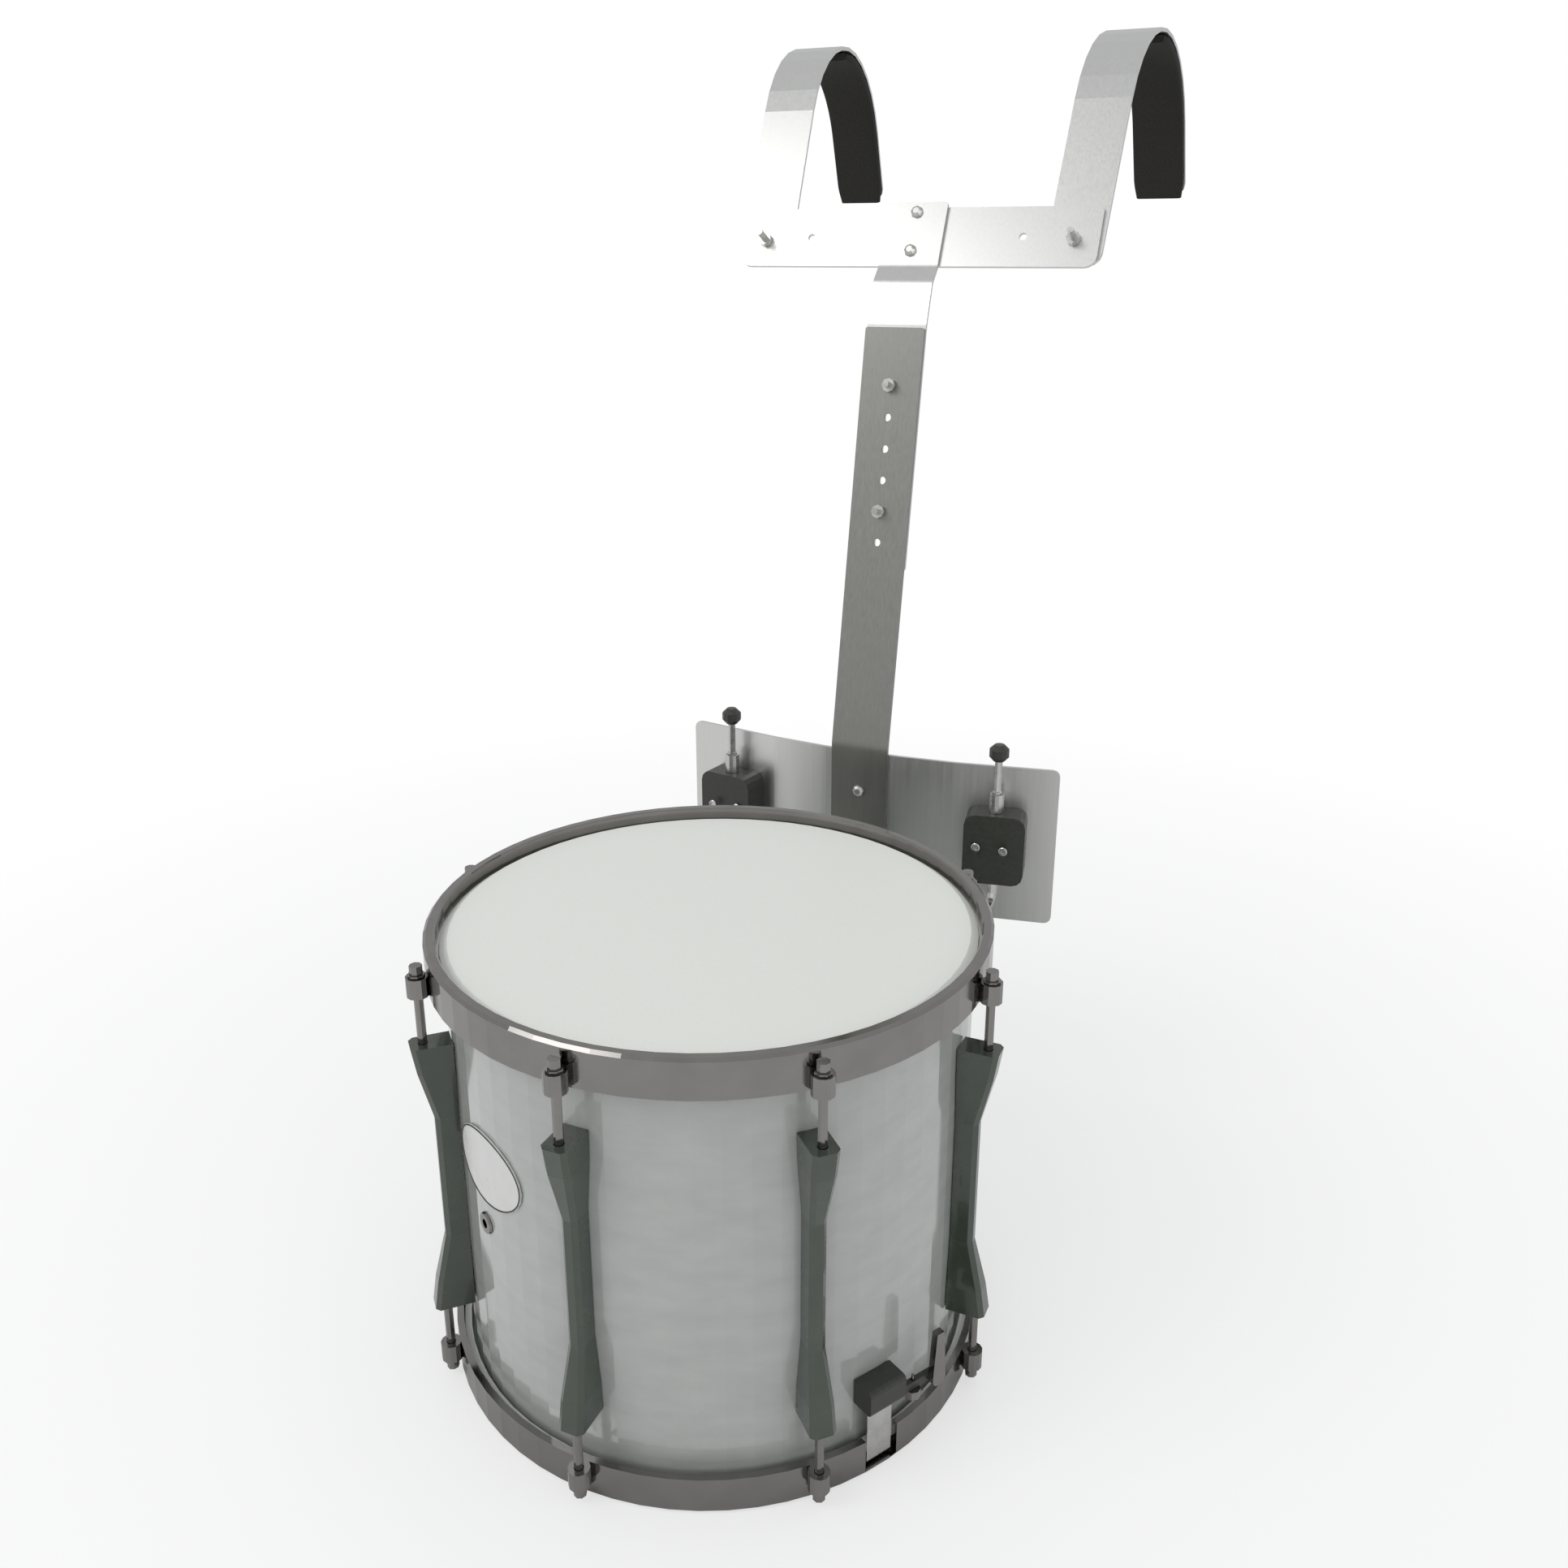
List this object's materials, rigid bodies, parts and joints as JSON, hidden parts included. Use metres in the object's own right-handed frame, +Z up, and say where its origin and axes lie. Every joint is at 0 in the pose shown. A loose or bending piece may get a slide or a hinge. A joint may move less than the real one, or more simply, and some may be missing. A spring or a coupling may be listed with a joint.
{
  "type": "marching snare drum with shoulder carrier",
  "caption": "Marching side drum with snares and a throw-off, hung on the hook rods of an aluminium shoulder carrier with padded over-the-shoulder arms.",
  "frame": {"origin": "middle of the bounding box at its base, the plane of the lower hoop's rim on the floor", "axes": "+Z up along the drum's axis; +Y from the drum towards the player's chest, where the carrier is; +X to the side of the snare throw-off"},
  "size_m": [0.4092, 0.8638, 0.9181],
  "materials": {
    "pearl": "glossy white pearl wrap",
    "film": "coated polyester film",
    "dark_chrome": "dark polished chrome",
    "lug_green_grey": "dark green-grey gloss",
    "badge_enamel": "plain enamel",
    "steel": "zinc-plated",
    "black_block": "satin black",
    "bright_aluminium": "brushed",
    "dull_aluminium": "dull grey, anodised",
    "foam": "closed-cell foam, matt black"
  },
  "bodies": {
    "drum": {"shell": "pearl", "batter_head": "film", "snare_head": "film", "top_hoop": "dark_chrome", "bottom_hoop": "dark_chrome", "lug_1": "lug_green_grey", "lug_2": "lug_green_grey", "lug_3": "lug_green_grey", "lug_4": "lug_green_grey", "lug_5": "lug_green_grey", "lug_6": "lug_green_grey", "lug_7": "lug_green_grey", "lug_8": "lug_green_grey", "top_rod_1": "dark_chrome", "top_rod_2": "dark_chrome", "top_rod_3": "dark_chrome", "top_rod_4": "dark_chrome", "top_rod_5": "dark_chrome", "top_rod_6": "dark_chrome", "top_rod_7": "dark_chrome", "top_rod_8": "dark_chrome", "bottom_rod_1": "dark_chrome", "bottom_rod_2": "dark_chrome", "bottom_rod_3": "dark_chrome", "bottom_rod_4": "dark_chrome", "bottom_rod_5": "dark_chrome", "bottom_rod_6": "dark_chrome", "bottom_rod_7": "dark_chrome", "bottom_rod_8": "dark_chrome", "badge": "badge_enamel", "vent_grommet": "dark_chrome", "strainer_body": "black_block", "snare_butt": "dark_chrome", "j_rod_left": "steel", "j_rod_right": "steel"},
    "carrier_lower": {"belly_plate": "bright_aluminium", "lower_bar": "dull_aluminium", "clamp_block_left": "black_block", "clamp_block_right": "black_block", "lock_collar_left": "steel", "lock_collar_right": "steel", "foot_screw_upper": "steel", "foot_screw_lower": "steel", "bar_bolt_upper": "steel", "bar_bolt_lower": "steel"},
    "carrier_upper": {"upper_bar": "bright_aluminium", "crossbar": "bright_aluminium", "crossbar_screw_upper": "steel", "crossbar_screw_lower": "steel", "strap_bolt_left": "steel", "strap_bolt_right": "steel"},
    "strap_left_arm": {"strap_left": "bright_aluminium", "strap_pad_left": "foam"},
    "strap_right_arm": {"strap_right": "bright_aluminium", "strap_pad_right": "foam"},
    "j_knob_left_body": {"j_knob_left": "black_block"},
    "j_knob_right_body": {"j_knob_right": "black_block"},
    "lever": {"throw_off_lever": "dark_chrome"},
    "snares": {"snare_wires": "steel"},
    "tension_knob": {"snare_tension_knob": "dark_chrome"}
  },
  "joints": [
    {"name": "carrier_height", "type": "slide", "parent": "drum", "child": "carrier_lower", "axis": [0, 0, 1], "range_m": [-0.007, 0.02]},
    {"name": "bar_extension", "type": "slide", "parent": "carrier_lower", "child": "carrier_upper", "axis": [0, 0.1857, 0.9826], "range_m": [-0.025, 0.025]},
    {"name": "strap_left_swing", "type": "hinge", "parent": "carrier_upper", "child": "strap_left_arm", "pos_m": [-0.131, 0.159, 0.7521], "axis": [0, -0.8988, 0.4384], "range_deg": [-8, 12]},
    {"name": "strap_right_swing", "type": "hinge", "parent": "carrier_upper", "child": "strap_right_arm", "pos_m": [0.131, 0.159, 0.7521], "axis": [0, -0.8988, 0.4384], "range_deg": [-12, 8]},
    {"name": "j_knob_left_turn", "type": "hinge", "parent": "drum", "child": "j_knob_left_body", "pos_m": [-0.12, 0.0553, 0.3615], "axis": [0, 0, 1], "continuous": true},
    {"name": "j_knob_right_turn", "type": "hinge", "parent": "drum", "child": "j_knob_right_body", "pos_m": [0.12, 0.0553, 0.3615], "axis": [0, 0, 1], "continuous": true},
    {"name": "throw_off", "type": "hinge", "parent": "drum", "child": "lever", "pos_m": [0.1855, -0.2882, 0.055], "axis": [-0.866, 0.5, 0], "range_deg": [0, 90]},
    {"name": "snare_drop", "type": "slide", "parent": "drum", "child": "snares", "axis": [0, 0, -1], "range_m": [0, 0.00149]},
    {"name": "snare_tension_turn", "type": "hinge", "parent": "drum", "child": "tension_knob", "pos_m": [0.1772, -0.3025, 0.048], "axis": [0, 0, 1], "continuous": true}
  ],
  "couplings": [
    {"joint": "throw_off", "follows": "snare_drop", "rad_per_m": 1052.6}
  ]
}
